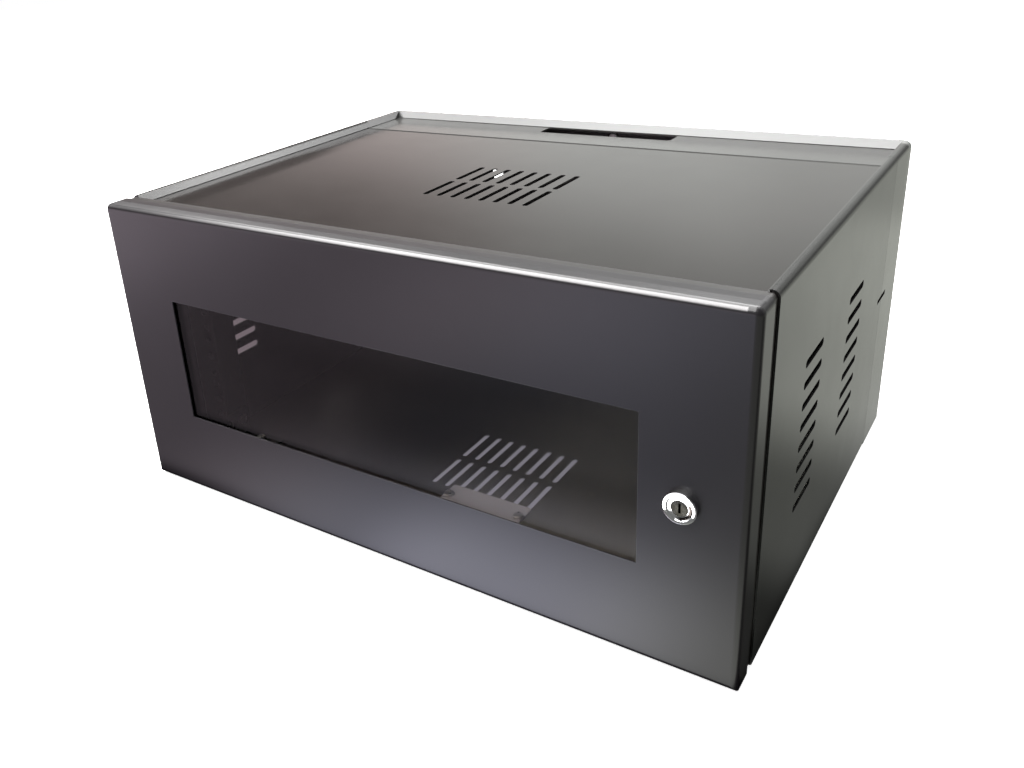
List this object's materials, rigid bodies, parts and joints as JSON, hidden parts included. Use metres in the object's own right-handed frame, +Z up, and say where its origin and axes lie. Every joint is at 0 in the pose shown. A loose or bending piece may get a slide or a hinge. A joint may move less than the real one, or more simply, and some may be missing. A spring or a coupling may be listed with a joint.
{
  "type": "rack cabinet",
  "caption": "Low wall-mount rack cabinet: folded steel shell, glazed hinged door with cam lock, vented roof, base and sides, equipment rails.",
  "frame": {"origin": "middle of the overall width and depth, at the level the cabinet stands on", "axes": "+X to the right as seen from the door, +Y from the door to the wall, +Z up"},
  "size_m": [0.55, 0.4226, 0.265],
  "materials": {
    "painted_steel": "satin black powder coat",
    "rail_steel": "dark grey coated steel",
    "zinc_steel": "zinc plated",
    "chrome": "polished",
    "glass": "tinted toughened glass",
    "rubber": "matt",
    "nylon": "plain"
  },
  "bodies": {
    "cabinet": {"roof_panel": "painted_steel", "base_panel": "painted_steel", "left_side_panel": "painted_steel", "right_side_panel": "painted_steel", "front_frame": "painted_steel", "rear_frame": "painted_steel", "rear_panel": "painted_steel", "rear_panel_screws": "zinc_steel", "left_rail": "rail_steel", "right_rail": "rail_steel", "left_lower_bracket": "rail_steel", "right_lower_bracket": "rail_steel", "left_upper_bracket": "rail_steel", "right_upper_bracket": "rail_steel", "bracket_screws": "zinc_steel", "bracket_nuts": "zinc_steel", "entry_plate": "rail_steel", "entry_screws": "zinc_steel", "earth_stud": "zinc_steel", "earth_nut": "zinc_steel", "lower_hinge_bracket": "painted_steel", "upper_hinge_bracket": "painted_steel", "lower_hinge_pin": "zinc_steel", "upper_hinge_pin": "zinc_steel", "lower_hinge_washer": "nylon", "upper_hinge_washer": "nylon", "door_buffers": "rubber"},
    "door": {"door_panel": "painted_steel", "window_glass": "glass", "glass_gasket": "rubber", "glass_clips": "zinc_steel", "clip_nuts": "zinc_steel", "lower_door_lug": "painted_steel", "upper_door_lug": "painted_steel", "lock_housing": "chrome", "lock_washer": "zinc_steel", "lock_nut": "zinc_steel"},
    "lock": {"lock_plug": "chrome", "lock_cam": "zinc_steel", "cam_screw": "zinc_steel"}
  },
  "joints": [
    {"name": "door_hinge", "type": "hinge", "parent": "cabinet", "child": "door", "pos_m": [-0.27, -0.1997, 0.1325], "axis": [0, 0, -1], "range_deg": [0, 95]},
    {"name": "lock_turn", "type": "hinge", "parent": "door", "child": "lock", "pos_m": [0.2345, -0.2067, 0.13], "axis": [0, -1, 0], "range_deg": [0, 90]}
  ]
}
